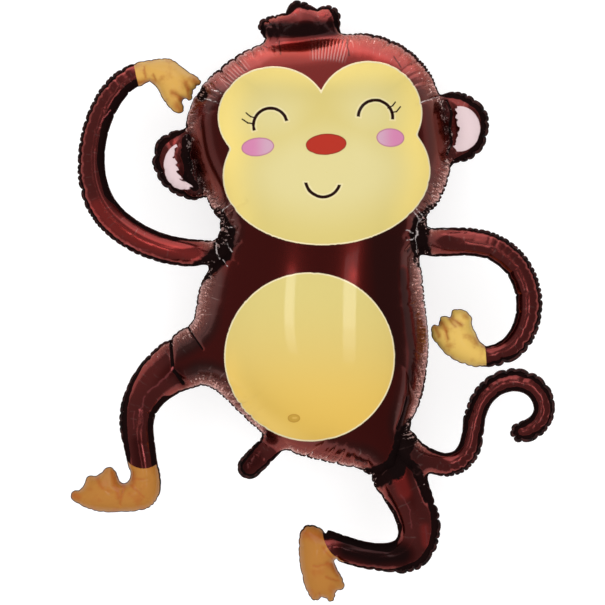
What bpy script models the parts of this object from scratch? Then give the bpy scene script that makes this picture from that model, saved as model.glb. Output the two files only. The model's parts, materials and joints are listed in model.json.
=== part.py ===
"""A foil balloon in the shape of a dancing monkey, inflated and lying on its back, face up.

Two printed sheets of metallised film are welded together round the outline and blown up.
Head and trunk are one big pillow. Arms, legs and tail are thin tubes of the same two sheets,
and hands, feet, ears and hair tuft are small pillows. The weld shows as a thin rim all round.
The filler neck is a flat tongue under the belly. It is all one skin, so it is one solid.

+Z is up through the thickness, +Y runs to the top of the head and +X to the viewer's right.
The origin is on the flat of the back. Outlines and routes below are in millimetres.
"""

import math

import bmesh
import bpy
from mathutils import Vector

MM = 0.001

SEAM_HEIGHT = 106 * MM  # the weld lies in one level plane, this high above the flat of the back
BODY_HALF_DEPTH = 118 * MM  # front bulge; the back bulges as far and is flattened where it rests
NECK_PINCH = 10 * MM  # how much thinner the pillow is between head and trunk
NECK_Y = 95 * MM
NECK_REACH = 60 * MM
RIM_WIDTH = 4 * MM  # flat weld outside the inflated edge of head and trunk
SMALL_RIM = 2 * MM  # the same round hands, feet, ears and tuft
HAND_HALF_DEPTH = 15 * MM
FOOT_HALF_DEPTH = 18 * MM
EAR_HALF_DEPTH = 17 * MM
TUFT_HALF_DEPTH = 18 * MM
TUBE_SHARE = 0.86  # inflated half-width of a limb as a share of its half-width with the weld
TONGUE_THICKNESS = 2.4 * MM

# Head and trunk, anticlockwise from the middle of the crown.
BODY_OUTLINE = (
    (10, 346), (-50, 338), (-100, 311), (-138, 272), (-153, 225), (-147, 180), (-126, 138),
    (-111, 95), (-119, 62), (-133, 25), (-141, -20), (-146, -60), (-138, -98), (-108, -118),
    (-78, -147), (-48, -174), (-12, -196), (32, -207), (72, -217), (112, -218), (139, -196),
    (143, -160), (155, -125), (162, -85), (164, -45), (159, 0), (156, 40), (158, 75),
    (167, 108), (184, 144), (195, 185), (192, 224), (181, 263), (164, 302), (134, 332),
    (92, 349), (52, 349),
)
BODY_SPINE = ((9, -62), (20, 186))

LEFT_HAND_OUTLINE = (
    (-226, 297), (-219, 310.5), (-201, 315), (-180, 317.5), (-169, 316), (-160, 309),
    (-147, 299.5), (-136, 293), (-131, 286), (-136.5, 279), (-141.5, 273), (-142.5, 265),
    (-148, 260.5), (-157, 263), (-154, 255), (-153, 249), (-162, 245.5), (-172, 252),
    (-182, 265), (-190, 280), (-201, 286), (-214, 280),
)
LEFT_HAND_SPINE = ((-205, 298), (-170, 287))

RIGHT_HAND_OUTLINE = (
    (246, -71), (240, -58), (230, -50), (225, -38), (220, -29), (220.5, -20), (212, -10.5),
    (199, -8), (192.5, -12), (194, -19.5), (184, -17), (177, -21), (178, -30), (170, -28.5),
    (166.5, -35), (169, -47), (177, -56.5), (187, -68), (201, -76.5), (217, -82), (236, -84),
)
RIGHT_HAND_SPINE = ((225, -68), (200, -50))

LEFT_FOOT_OUTLINE = (
    (-207, -203), (-224, -208), (-223.5, -226), (-231, -235.5), (-238, -231), (-243.5, -218),
    (-252, -213), (-260, -219), (-268, -225.5), (-280, -225), (-283.5, -236), (-290, -243.5),
    (-299, -245), (-302, -253), (-295, -260), (-281, -267), (-261, -272.5), (-240, -272.5),
    (-214, -271), (-197, -265), (-186, -250), (-184, -232), (-189, -209),
)
LEFT_FOOT_SPINE = ((-206, -236), (-262, -250))

RIGHT_FOOT_OUTLINE = (
    (36, -312), (25, -294), (12, -289), (1, -291), (-4, -303), (-5, -322), (-3, -344),
    (2, -366), (10, -383), (17.5, -389), (24.5, -383), (30, -384), (37, -390.5), (42.5, -383),
    (43.5, -374.5), (53.5, -373), (54, -362), (45, -346), (40.5, -333),
)
RIGHT_FOOT_SPINE = ((15, -312), (25, -352))

LEFT_EAR_OUTLINE = (
    (-150, 224), (-171, 222), (-188, 210), (-195, 186), (-188, 162), (-174, 147),
    (-155, 136), (-132, 134), (-118, 160), (-125, 205),
)
LEFT_EAR_SPINE = ((-150, 190), (-146, 172))

RIGHT_EAR_OUTLINE = (
    (180, 270), (203, 274), (224, 264), (240, 248), (241, 220), (233, 199), (217, 186),
    (195, 181), (175, 195), (168, 240),
)
RIGHT_EAR_SPINE = ((200, 240), (202, 215))

TUFT_OUTLINE = (
    (-45, 334), (-50, 347), (-58, 354), (-57.5, 364), (-49, 371), (-34, 373.5), (-22, 377),
    (-17, 388), (-7, 393), (4, 391), (13, 383), (24, 384.5), (36, 387), (46, 380),
    (50.5, 367), (47.5, 354), (50, 339), (5, 322),
)
TUFT_SPINE = ((-30, 352), (30, 360))

# Limbs: (x, y, half-width with the weld) along the middle of each tube, from the body outwards.
LEFT_ARM_ROUTE = (
    (-92, 63, 19), (-125, 63, 18.5), (-160, 66, 18.5), (-195, 75, 19), (-229, 93, 19.5),
    (-256, 118, 19.5), (-270.5, 149, 18.5), (-274.5, 185, 17.5), (-270, 220, 17), (-258, 253, 16.8),
    (-239, 281, 16.3), (-218, 295.5, 15), (-200, 300, 13),
)
RIGHT_ARM_ROUTE = (
    (132, 78, 20), (165, 78, 20), (200, 79, 18.5), (232, 77, 18), (259, 66, 17.5),
    (281, 44, 17.2), (293, 14, 17), (294, -14, 17), (286, -40, 16.5), (268, -61, 15.5),
    (240, -70, 13.3), (225, -68, 12),
)
LEFT_LEG_ROUTE = (
    (-105, -55, 46), (-150, -75, 38), (-185, -97, 31), (-207, -124, 25.5), (-216, -155, 22.5),
    (-212, -185, 20.5), (-207, -214, 19),
)
RIGHT_LEG_ROUTE = (
    (98, -165, 48), (119, -208, 43), (136, -245, 32), (148, -275, 28.5), (151, -302, 27.5),
    (138, -326, 25), (108, -331, 18.5), (80, -328, 17.5), (55, -321, 17.5), (27, -311, 17),
)
TAIL_ROUTE = (
    (105, -170, 18), (135, -188, 17), (160, -203, 16), (185, -211, 15.5), (207, -204, 15),
    (219, -183, 14.5), (223, -155, 14), (230, -131, 14), (246, -111, 14.5), (270, -101, 15),
    (294, -105, 14.5), (310, -120, 14.5), (314, -141, 14), (305, -159, 14), (290, -167, 14),
    (278, -169, 12), (271, -169, 7),
)

NECK_TONGUE_ROOT = (-28, -172)
NECK_TONGUE_END = (-69, -214)
NECK_TONGUE_HALF_WIDTH = 16

SPAN_MM = 18  # spacing of the points sampled along the body outline
SMALL_SPAN_MM = 9  # spacing along the outlines of ears and tuft
FINGER_SPAN_MM = 6.5  # spacing along the outlines of hands and feet
BODY_RISE = (1.5, 11, 24, 38, 52, 66, 80)  # degrees up the bulge, one ring of points each
SMALL_RISE = (5, 32, 70)
LIMB_RISE = (9, 35, 62, 90, 118, 145, 171)
STEPS_BETWEEN_POINTS = 12  # fine steps of a smooth outline between two of its points
LIMB_STEPS = 2  # rings of a limb between two points of its route
ROUND_END_STEPS = 8
TABLE_HALF_SIZE = 0.4  # of the block that flattens the back
MERGE = 1e-6
SHARP_EDGE = math.radians(50)


def clear_scene():
    """Start from an empty file."""
    for thing in list(bpy.data.objects):
        bpy.data.objects.remove(thing, do_unlink=True)


def new_collection(name, hidden=False):
    """A collection under the scene; a hidden one holds the shapes that Booleans use."""
    collection = bpy.data.collections.new(name)
    collection.hide_render = hidden
    bpy.context.scene.collection.children.link(collection)
    return collection


def smooth_loop(points, span):
    """The closed smooth curve through the points, sampled evenly about a span apart."""
    count = len(points)
    fine = []
    for i in range(count):
        before, start, end, after = (Vector(points[(i + k) % count]) for k in (-1, 0, 1, 2))
        for step in range(STEPS_BETWEEN_POINTS):
            t = step / STEPS_BETWEEN_POINTS
            fine.append(
                0.5 * (
                    2 * start
                    + (end - before) * t
                    + (2 * before - 5 * start + 4 * end - after) * t * t
                    + (3 * start - before - 3 * end + after) * t * t * t
                )
            )
    lengths = [(fine[(i + 1) % len(fine)] - fine[i]).length for i in range(len(fine))]
    wanted = round(sum(lengths) / span)
    sampled, walked, index = [], 0.0, 0
    for k in range(wanted):
        target = sum(lengths) * k / wanted
        while walked + lengths[index] < target:
            walked += lengths[index]
            index += 1
        share = (target - walked) / lengths[index]
        sampled.append(fine[index].lerp(fine[(index + 1) % len(fine)], share))
    return sampled


def nearest_on_spine(point, spine):
    """The point of the spine line that a bulge's section rises to."""
    foot, head = (Vector(end) for end in spine)
    along = head - foot
    share = (point - foot).dot(along) / along.length_squared
    return foot + along * min(max(share, 0.0), 1.0)


def even_depth(depth):
    """A bulge of one depth all along its spine."""
    return lambda y: depth


def body_depth(y):
    """Half-depth of head and trunk, a little less at the neck."""
    return BODY_HALF_DEPTH - NECK_PINCH * math.exp(-(((y - NECK_Y) / NECK_REACH) ** 2))


def pillow(name, outline, spine, depth_at, span, rise, collection, rim=RIM_WIDTH):
    """Two sheets welded round an outline: half-ellipse sections that rise to the spine."""
    edge = smooth_loop(outline, span)
    roots = [nearest_on_spine(point, spine) for point in edge]
    shape = bmesh.new()

    def corner(index, degrees, side):
        out = (edge[index] - roots[index]) * MM
        reach = out.length
        if degrees is not None:
            angle = math.radians(degrees)
            out *= (reach - rim) / reach * math.cos(angle)
            height = depth_at(roots[index].y * MM) * math.sin(angle)
        else:
            height = 0.0
        flat = roots[index] * MM + out
        return shape.verts.new((flat.x, flat.y, SEAM_HEIGHT + side * height))

    weld = [corner(i, None, 1) for i in range(len(edge))]
    for side in (1, -1):
        inner = weld
        for degrees in rise:
            ring = [corner(i, degrees, side) for i in range(len(edge))]
            for i in range(len(edge)):
                j = (i + 1) % len(edge)
                shape.faces.new((inner[i], inner[j], ring[j], ring[i])[::side])
            inner = ring
        shape.faces.new(inner[::side])
    bmesh.ops.triangulate(shape, faces=[face for face in shape.faces if len(face.verts) > 4])
    bmesh.ops.recalc_face_normals(shape, faces=shape.faces)
    mesh = bpy.data.meshes.new(name)
    shape.to_mesh(mesh)
    shape.free()
    solid = bpy.data.objects.new(name, mesh)
    collection.objects.link(solid)
    return solid


def limb_section(collection):
    """Unit cross-section of a limb: a round tube with the weld standing out on both sides."""
    curve = bpy.data.curves.new("limb_section", "CURVE")
    upper = [
        (TUBE_SHARE * math.cos(math.radians(a)), TUBE_SHARE * math.sin(math.radians(a)))
        for a in LIMB_RISE
    ]
    points = [(1.0, 0.0), *upper, (-1.0, 0.0), *[(x, -y) for x, y in reversed(upper)]]
    spline = curve.splines.new("POLY")
    spline.points.add(len(points) - 1)
    for target, (x, y) in zip(spline.points, points):
        target.co = (x * MM, y * MM, 0, 1)
    spline.use_cyclic_u = True
    section = bpy.data.objects.new("limb_section", curve)
    collection.objects.link(section)
    return section


def limb(name, route, section, collection):
    """A tube of changing width along a smooth route in the plane of the weld, closed at both ends."""
    curve = bpy.data.curves.new(name, "CURVE")
    curve.dimensions = "3D"
    curve.twist_mode = "Z_UP"
    curve.bevel_mode = "OBJECT"
    curve.bevel_object = section
    curve.use_fill_caps = True
    curve.resolution_u = LIMB_STEPS
    spline = curve.splines.new("BEZIER")
    spline.bezier_points.add(len(route) - 1)
    for target, (x, y, half_width) in zip(spline.bezier_points, route):
        target.co = (x * MM, y * MM, SEAM_HEIGHT)
        target.radius = half_width
        target.handle_left_type = "AUTO"
        target.handle_right_type = "AUTO"
    guide = bpy.data.objects.new(name, curve)
    collection.objects.link(guide)
    return as_mesh(guide, collection)


def as_mesh(guide, collection):
    """The curve object made a closed mesh object in its place, so that Booleans can take it."""
    bpy.context.view_layer.update()
    graph = bpy.context.evaluated_depsgraph_get()
    mesh = bpy.data.meshes.new_from_object(guide.evaluated_get(graph))
    shape = bmesh.new()
    shape.from_mesh(mesh)
    bmesh.ops.remove_doubles(shape, verts=shape.verts, dist=MERGE)
    bmesh.ops.recalc_face_normals(shape, faces=shape.faces)
    shape.to_mesh(mesh)
    shape.free()
    solid = bpy.data.objects.new(guide.name + "_solid", mesh)
    solid.matrix_world = guide.matrix_world
    collection.objects.link(solid)
    bpy.data.objects.remove(guide, do_unlink=True)
    return solid


def neck_tongue(collection):
    """The flat filler neck: a strip of both sheets with a round end, in the plane of the weld."""
    root, end = Vector(NECK_TONGUE_ROOT), Vector(NECK_TONGUE_END)
    along = (end - root).normalized()
    across = Vector((-along.y, along.x)) * NECK_TONGUE_HALF_WIDTH
    outline = [root + across, root - across]
    for step in range(ROUND_END_STEPS + 1):
        turn = math.pi * step / ROUND_END_STEPS
        outline.append(end - across * math.cos(turn) + along * NECK_TONGUE_HALF_WIDTH * math.sin(turn))
    curve = bpy.data.curves.new("filler_neck", "CURVE")
    curve.dimensions = "2D"
    curve.fill_mode = "BOTH"
    curve.extrude = TONGUE_THICKNESS / 2
    spline = curve.splines.new("POLY")
    spline.points.add(len(outline) - 1)
    for target, point in zip(spline.points, outline):
        target.co = (point.x * MM, point.y * MM, 0, 1)
    spline.use_cyclic_u = True
    guide = bpy.data.objects.new("filler_neck", curve)
    guide.location.z = SEAM_HEIGHT
    collection.objects.link(guide)
    return as_mesh(guide, collection)


def table_block(collection):
    """The space under the balloon, whose top flattens the back."""
    bpy.ops.mesh.primitive_cube_add(size=2 * TABLE_HALF_SIZE, location=(0, 0, -TABLE_HALF_SIZE))
    block = bpy.context.active_object
    block.name = "table_block"
    for owner in list(block.users_collection):
        owner.objects.unlink(block)
    collection.objects.link(block)
    return block


def foil_material():
    """Printed metallised film: dark red-brown with a mirror-like sheen."""
    material = bpy.data.materials.new("brown_foil")
    material.use_nodes = True
    shader = material.node_tree.nodes["Principled BSDF"]
    shader.inputs["Base Color"].default_value = (0.12, 0.022, 0.02, 1)
    shader.inputs["Metallic"].default_value = 0.8
    shader.inputs["Roughness"].default_value = 0.25
    return material


def join_and_flatten(body, joined, block):
    """Make the skin one solid with everything that is joined to it, then flatten the back."""
    union = body.modifiers.new("join_limbs", "BOOLEAN")
    union.operation = "UNION"
    union.operand_type = "COLLECTION"
    union.collection = joined
    union.solver = "EXACT"
    cut = body.modifiers.new("flat_back", "BOOLEAN")
    cut.operation = "DIFFERENCE"
    cut.object = block
    cut.solver = "EXACT"


def build():
    clear_scene()
    balloon = new_collection("balloon_monkey")
    joined = new_collection("joined_shapes", hidden=True)
    helpers = new_collection("helpers", hidden=True)

    body = pillow(
        "foil_envelope", BODY_OUTLINE, BODY_SPINE, body_depth, SPAN_MM, BODY_RISE, balloon
    )
    small_pillows = (
        ("left_hand", LEFT_HAND_OUTLINE, LEFT_HAND_SPINE, HAND_HALF_DEPTH, FINGER_SPAN_MM),
        ("right_hand", RIGHT_HAND_OUTLINE, RIGHT_HAND_SPINE, HAND_HALF_DEPTH, FINGER_SPAN_MM),
        ("left_foot", LEFT_FOOT_OUTLINE, LEFT_FOOT_SPINE, FOOT_HALF_DEPTH, FINGER_SPAN_MM),
        ("right_foot", RIGHT_FOOT_OUTLINE, RIGHT_FOOT_SPINE, FOOT_HALF_DEPTH, FINGER_SPAN_MM),
        ("left_ear", LEFT_EAR_OUTLINE, LEFT_EAR_SPINE, EAR_HALF_DEPTH, SMALL_SPAN_MM),
        ("right_ear", RIGHT_EAR_OUTLINE, RIGHT_EAR_SPINE, EAR_HALF_DEPTH, SMALL_SPAN_MM),
        ("hair_tuft", TUFT_OUTLINE, TUFT_SPINE, TUFT_HALF_DEPTH, SMALL_SPAN_MM),
    )
    for name, outline, spine, depth, span in small_pillows:
        pillow(name, outline, spine, even_depth(depth), span, SMALL_RISE, joined, SMALL_RIM)

    section = limb_section(helpers)
    limbs = (
        ("left_arm", LEFT_ARM_ROUTE),
        ("right_arm", RIGHT_ARM_ROUTE),
        ("left_leg", LEFT_LEG_ROUTE),
        ("right_leg", RIGHT_LEG_ROUTE),
        ("tail", TAIL_ROUTE),
    )
    for name, route in limbs:
        limb(name, route, section, joined)
    neck_tongue(joined)

    join_and_flatten(body, joined, table_block(helpers))
    body.data.materials.append(foil_material())
    body.data.shade_smooth()
    body.data.set_sharp_from_angle(angle=SHARP_EDGE)
    for helper in [*joined.objects, *helpers.objects]:
        helper.hide_render = True
        helper.display_type = "WIRE"


build()
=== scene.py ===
"""A printed foil balloon in the shape of a dancing monkey, lying on its back on a pale studio floor.

It is two sheets of metallised film, welded together round the outline and blown up. The front sheet,
the back sheet and the flat weld between them are three pieces. All of them stand for the CAD solid.
"""

import json
import math

import bmesh
import bpy
import numpy as np
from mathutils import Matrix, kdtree


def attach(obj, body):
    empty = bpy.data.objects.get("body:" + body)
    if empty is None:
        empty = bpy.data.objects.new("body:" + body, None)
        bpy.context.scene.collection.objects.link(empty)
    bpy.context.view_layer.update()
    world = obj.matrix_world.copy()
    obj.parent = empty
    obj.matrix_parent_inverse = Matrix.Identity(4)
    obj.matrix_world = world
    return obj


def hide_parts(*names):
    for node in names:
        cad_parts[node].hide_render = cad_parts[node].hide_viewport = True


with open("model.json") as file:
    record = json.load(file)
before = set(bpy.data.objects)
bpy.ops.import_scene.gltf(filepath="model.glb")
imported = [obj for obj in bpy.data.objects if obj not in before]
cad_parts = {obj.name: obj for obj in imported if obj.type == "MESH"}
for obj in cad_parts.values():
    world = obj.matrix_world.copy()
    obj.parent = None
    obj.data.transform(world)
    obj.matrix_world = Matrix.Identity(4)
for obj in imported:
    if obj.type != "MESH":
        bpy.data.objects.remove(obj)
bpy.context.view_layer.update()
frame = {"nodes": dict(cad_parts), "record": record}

# ------------------------------------------------------------------------------------ front sheet
# The printed front sheet: thin metallised film, dark red-brown with a yellow face, belly, hands
# and feet. Its form is the depth of a blown-up pillow over the CAD solid's own weld line, meshed
# evenly, then gathered into puckers that start at the weld and join up as they run inwards.

MM = 0.001
solid = frame["nodes"]["foil_envelope"]
mounts = {mount["name"]: mount for mount in frame["record"]["mounts"]}
TONGUE_HALF_THICKNESS = 0.0012
SEAM_HEIGHT = mounts["filler_neck"]["pos_m"][2] - TONGUE_HALF_THICKNESS


def walked(pairs):
    """The members of one closed loop, in order, from its links."""
    beside = {}
    for a, b in pairs:
        beside.setdefault(a, []).append(b)
        beside.setdefault(b, []).append(a)
    loop, seen = [pairs[0][0]], {pairs[0][0]}
    while True:
        unseen = [other for other in beside[loop[-1]] if other not in seen]
        if not unseen:
            return loop
        loop.append(unseen[0])
        seen.add(unseen[0])


def weld_line(mesh, height):
    """The solid's outline at the weld, as an anticlockwise loop of points in millimetres."""
    shape = bmesh.new()
    shape.from_mesh(mesh)
    bmesh.ops.remove_doubles(shape, verts=shape.verts, dist=1e-6)
    cut = bmesh.ops.bisect_plane(
        shape, geom=shape.verts[:] + shape.edges[:] + shape.faces[:],
        plane_co=(0, 0, height), plane_no=(0, 0, 1), clear_inner=True, clear_outer=True)
    pairs = [tuple(part.verts) for part in cut["geom_cut"] if isinstance(part, bmesh.types.BMEdge)]
    points = np.array([vert.co[:2] for vert in walked(pairs)]) / MM
    shape.free()
    following = np.roll(points, -1, 0)
    area = (points[:, 0] * following[:, 1] - points[:, 1] * following[:, 0]).sum()
    return points if area > 0 else points[::-1]


def resampled(loop, spacing):
    """The same closed loop with points at an even spacing."""
    closed = np.vstack([loop, loop[:1]])
    along = np.concatenate([[0], np.cumsum(np.linalg.norm(np.diff(closed, axis=0), axis=1))])
    steps = round(along[-1] / spacing)
    stations = np.arange(steps) * along[-1] / steps
    return np.stack([np.interp(stations, along, closed[:, k]) for k in (0, 1)], 1)


def softened(values, spread):
    """Values round a closed loop, blurred by a Gaussian of that many points."""
    wave = np.fft.rfftfreq(len(values)) * 2 * math.pi
    keep = np.exp(-0.5 * (wave * spread) ** 2)
    keep = keep if values.ndim == 1 else keep[:, None]
    return np.fft.irfft(np.fft.rfft(values, axis=0) * keep, len(values), axis=0)


def rounded(values, spread):
    """A blur that takes the facets' corners away and hardly shrinks the shape."""
    once = softened(values, spread)
    return 2 * once - softened(once, spread)


def directions(loop):
    """Unit vectors along a loop and out of it."""
    along = np.roll(loop, -1, 0) - np.roll(loop, 1, 0)
    along /= np.linalg.norm(along, axis=1)[:, None]
    return along, np.stack([along[:, 1], -along[:, 0]], 1)


def bending(along, spread):
    """How fast a loop turns at each point, positive where it bulges out."""
    heading = np.unwrap(np.arctan2(along[:, 1], along[:, 0]))
    heading = np.append(heading, heading[0] + 2 * math.pi)
    return softened(np.diff(heading), spread)


# Middle and reach of the four places with fingers or toes, where the outline keeps its detail.
HANDS_AND_FEET = ((-178, 284, 60), (204, -46, 56), (-244, -246, 66), (26, -342, 58))


def near_fingers(points):
    """1 on hands and feet, 0 elsewhere."""
    found = np.zeros(len(points))
    for x, y, reach in HANDS_AND_FEET:
        away = np.hypot(points[:, 0] - x, points[:, 1] - y)
        found = np.maximum(found, np.clip((reach + 4 - away) / 12, 0, 1))
    return found


# Points are a millimetre apart round the outline and the edge, so a place there is a length too.
STEP = 1.0
FINE_ROUNDING, COARSE_ROUNDING = 1.6, 7.0  # on hands and feet, and elsewhere
# The weld's width in millimetres: its least, how much more where it bulges, and on fingers.
WELD_WIDTH, BULGE_WIDTH, FINGER_WIDTH = 1.6, 2.6, 0.9
FULL_BULGE = 0.012  # radians turned each millimetre
outline = resampled(weld_line(solid.data, SEAM_HEIGHT + 0.05 * MM), STEP)
outline = rounded(outline, FINE_ROUNDING)
fingers = softened(near_fingers(outline), 6.0)[:, None]
outline = resampled(outline * fingers + rounded(outline, COARSE_ROUNDING) * (1 - fingers), STEP)
along, outward = directions(outline)
bulge = np.clip(bending(along, 12.0) / FULL_BULGE, 0, 1)
fingers = near_fingers(outline)
weld_width = softened((WELD_WIDTH + BULGE_WIDTH * bulge) * (1 - fingers) + FINGER_WIDTH * fingers, 8.0)

# The inflated edge runs inside the outline, a weld's width away from it.
edge = resampled(rounded(outline - outward * weld_width[:, None], 1.5), STEP)
edge_along, edge_out = directions(edge)
count = len(edge)

edge_tree = kdtree.KDTree(count)
for number, (x, y) in enumerate(edge):
    edge_tree.insert((x, y, 0), number)
edge_tree.balance()


def nearest(points):
    """Each point's place along the edge, its signed distance inside it and the edge point itself."""
    index = np.array([edge_tree.find((x, y, 0))[1] for x, y in points])
    best = None
    for start in (index - 1, index):
        a = edge[start % count]
        run = edge[(start + 1) % count] - a
        share = np.clip(((points - a) * run).sum(1) / (run * run).sum(1), 0, 1)
        foot = a + run * share[:, None]
        gap = np.linalg.norm(points - foot, axis=1)
        found = (gap, start + share, foot, run)
        if best is None:
            best = found
        else:
            closer = gap < best[0]
            best = tuple(
                np.where(closer if new.ndim == 1 else closer[:, None], new, old)
                for old, new in zip(best, found))
    gap, place, foot, run = best
    left = run[:, 0] * (points[:, 1] - foot[:, 1]) - run[:, 1] * (points[:, 0] - foot[:, 0])
    return place % count, np.where(left > 0, gap, -gap), foot


# Depth: half the squared depth obeys Poisson's equation over the outline, as for a membrane
# under pressure, so wide places stand high and narrow ones low with a round section each.
CELL = 1.25
low = edge.min(0) - 6 * CELL
cells = np.ceil((edge.max(0) + 6 * CELL - low) / CELL).astype(int)
columns = low[0] + CELL * np.arange(cells[0])
rows = low[1] + CELL * np.arange(cells[1])
inside = np.zeros(cells, bool)
following = np.roll(edge, -1, 0)
for j, y in enumerate(rows):
    crossed = (edge[:, 1] > y) != (following[:, 1] > y)
    a, b = edge[crossed], following[crossed]
    hits = np.sort(a[:, 0] + (y - a[:, 1]) * (b[:, 0] - a[:, 0]) / (b[:, 1] - a[:, 1]))
    inside[:, j] = np.searchsorted(hits, columns) % 2 == 1

border = np.zeros_like(inside)
for i in range(-3, 4):
    for j in range(-3, 4):
        border |= np.roll(inside, (i, j), (0, 1)) != inside
border_i, border_j = np.nonzero(border)
border_points = np.stack([columns[border_i], rows[border_j]], 1)
_, border_gap, border_foot = nearest(border_points)
border_inside = inside[border_i, border_j]
inset_grid = np.where(inside, 1e3, -1e3)
inset_grid[border_i, border_j] = np.where(border_inside, np.abs(border_gap), -np.abs(border_gap))

# Places where the two sheets are drawn together: a route, the half depth there and its half width.
DRAWN_IN = (
    (((-153, 232), (-151, 205), (-147, 180), (-136, 155), (-124, 133)), 12, 9),
    (((178, 280), (188, 245), (193, 215), (194, 180)), 12, 9),
    (((-58, 338), (0, 342), (56, 351)), 20, 9),
    (((-52, -204), (-72, -216), (-92, -228)), 3, 22),
)
MOST_PULL = 0.08


def route_gap(points, route):
    """Distance from each point to a route of straight runs."""
    best = np.full(len(points), 1e9)
    route = np.array(route, float)
    for a, b in zip(route[:-1], route[1:]):
        run = b - a
        share = np.clip((points - a) @ run / (run @ run), 0, 1)
        best = np.minimum(best, np.linalg.norm(points - a - share[:, None] * run, axis=1))
    return best


pull = np.zeros(inside.shape)
wanted = np.zeros(inside.shape)
grid_x, grid_y = np.meshgrid(columns, rows, indexing="ij")
for route, half_depth, half_width in DRAWN_IN:
    corners = np.array(route, float)
    lowest, highest = corners.min(0) - 50, corners.max(0) + 50
    near = inside & (grid_x > lowest[0]) & (grid_x < highest[0])
    near &= (grid_y > lowest[1]) & (grid_y < highest[1])
    gap = route_gap(np.stack([grid_x[near], grid_y[near]], 1), route)
    strength = MOST_PULL * np.exp(-(gap / half_width) ** 2)
    wanted[near] = np.where(strength > pull[near], half_depth ** 2 / 2, wanted[near])
    pull[near] = np.maximum(pull[near], strength)

stiffness = pull * CELL ** 2
for axis in (0, 1):
    for shift in (1, -1):
        beyond = np.roll(inset_grid, shift, axis)
        share = np.clip(inset_grid / np.maximum(inset_grid - beyond, 1e-9), 0.05, 1)
        stiffness += np.where(beyond < 0, 1 / share, 1.0)


def sheet_pull(depth):
    """The left side of the discrete Poisson equation."""
    result = stiffness * depth
    result[1:] -= depth[:-1]
    result[:-1] -= depth[1:]
    result[:, 1:] -= depth[:, :-1]
    result[:, :-1] -= depth[:, 1:]
    result[~inside] = 0
    return result


# Conjugate gradients from a flat start.
MOST_ROUNDS = 1500
half_square = np.zeros(inside.shape)
rest = np.where(inside, CELL ** 2 * (1 + pull * wanted), 0.0)
goal = 1e-9 * (rest ** 2).sum()
scaled = np.where(inside, rest / stiffness, 0)
direction = scaled.copy()
size = (rest * scaled).sum()
for _ in range(MOST_ROUNDS):
    moved = sheet_pull(direction)
    share = size / (direction * moved).sum()
    half_square += share * direction
    rest -= share * moved
    scaled = np.where(inside, rest / stiffness, 0)
    new_size = (rest * scaled).sum()
    if new_size < goal:
        break
    direction = scaled + new_size / size * direction
    size = new_size


def sampled(field, points):
    """A grid's value at each point, linear between its cells."""
    place = (points - low) / CELL
    i = np.clip(place.astype(int), 0, np.array(inside.shape) - 2)
    f = place - i
    a, b = i[:, 0], i[:, 1]
    return (field[a, b] * (1 - f[:, 0]) * (1 - f[:, 1]) + field[a + 1, b] * f[:, 0] * (1 - f[:, 1])
            + field[a, b + 1] * (1 - f[:, 0]) * f[:, 1] + field[a + 1, b + 1] * f[:, 0] * f[:, 1])


# Outside the edge the field goes on as its own negative mirror, so it crosses zero cleanly there.
FAR_OUTSIDE = -40.0
depth_grid = np.sqrt(2 * np.maximum(half_square, 0))
outside = ~border_inside
mirrored = 2 * border_foot[outside] - border_points[outside]
beyond_edge = -sampled(np.where(inside, half_square, 0), mirrored) - 0.02
half_square[~inside] = FAR_OUTSIDE
half_square[border_i[outside], border_j[outside]] = beyond_edge

FLAT_TOP = 138.0  # the widest places are held back towards this depth


def squared_depth(half):
    """Squared height over the seam from the field's value."""
    twice = 2 * half
    return np.where(half > 0, twice / np.sqrt(1 + (np.maximum(twice, 0) / FLAT_TOP ** 2) ** 2), twice)


def height_squared(x, y):
    """Squared height of the sheet over any point, with cubic steps between cells."""
    place = (np.stack([x, y], 1) - low) / CELL
    i = np.clip(np.floor(place).astype(int), 1, np.array(inside.shape) - 3)
    f = place - i
    weights = (-0.5 * f + f * f - 0.5 * f ** 3, 1 - 2.5 * f * f + 1.5 * f ** 3,
               0.5 * f + 2 * f * f - 1.5 * f ** 3, -0.5 * f * f + 0.5 * f ** 3)
    total = 0
    for a in range(4):
        for b in range(4):
            cell = half_square[i[:, 0] + a - 1, i[:, 1] + b - 1]
            total = total + weights[a][:, 0] * weights[b][:, 1] * cell
    return squared_depth(total)


# An even mesh: surface nets on a block grid, then relaxed along the true surface.
MESH = 1.6
net_x = np.arange(low[0] + 3, low[0] + CELL * cells[0] - 3, MESH)
net_y = np.arange(low[1] + 3, low[1] + CELL * cells[1] - 3, MESH)
block_x, block_y = np.meshgrid(net_x, net_y, indexing="ij")
top = height_squared(block_x.ravel(), block_y.ravel()).reshape(block_x.shape)
grown = inside.copy()
for axis in (0, 1):
    grown |= np.roll(inside, 1, axis) | np.roll(inside, -1, axis)
block_points = np.stack([block_x.ravel(), block_y.ravel()], 1)
top[sampled(grown.astype(float), block_points).reshape(top.shape) < 0.3] = -1
first_layer = (MESH / 2) ** 2
for _ in range(3):
    # Blocks that touch only at a corner get a third one, so the seam stays a single loop.
    full = top > first_layer
    touching = (full[:-1, :-1] == full[1:, 1:]) & (full[1:, :-1] == full[:-1, 1:])
    corner_i, corner_j = np.nonzero(touching & (full[:-1, :-1] != full[1:, :-1]))
    for a, b in ((0, 0), (1, 0)):
        lifted = top[corner_i + a, corner_j + b]
        top[corner_i + a, corner_j + b] = np.maximum(lifted, first_layer * 1.01)
layers = int(math.sqrt(top.max()) / MESH) + 3
full = top[:, :, None] > (((np.arange(layers) - 0.5) * MESH) ** 2)[None, None, :]
corner_count = sum(
    full[a:len(net_x) - 1 + a, b:len(net_y) - 1 + b, c:layers - 1 + c].astype(np.uint8)
    for a in (0, 1) for b in (0, 1) for c in (0, 1))
skin = (corner_count > 0) & (corner_count < 8)
vertex_at = -np.ones(skin.shape, np.int32)
skin_i, skin_j, skin_k = np.nonzero(skin)
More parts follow.
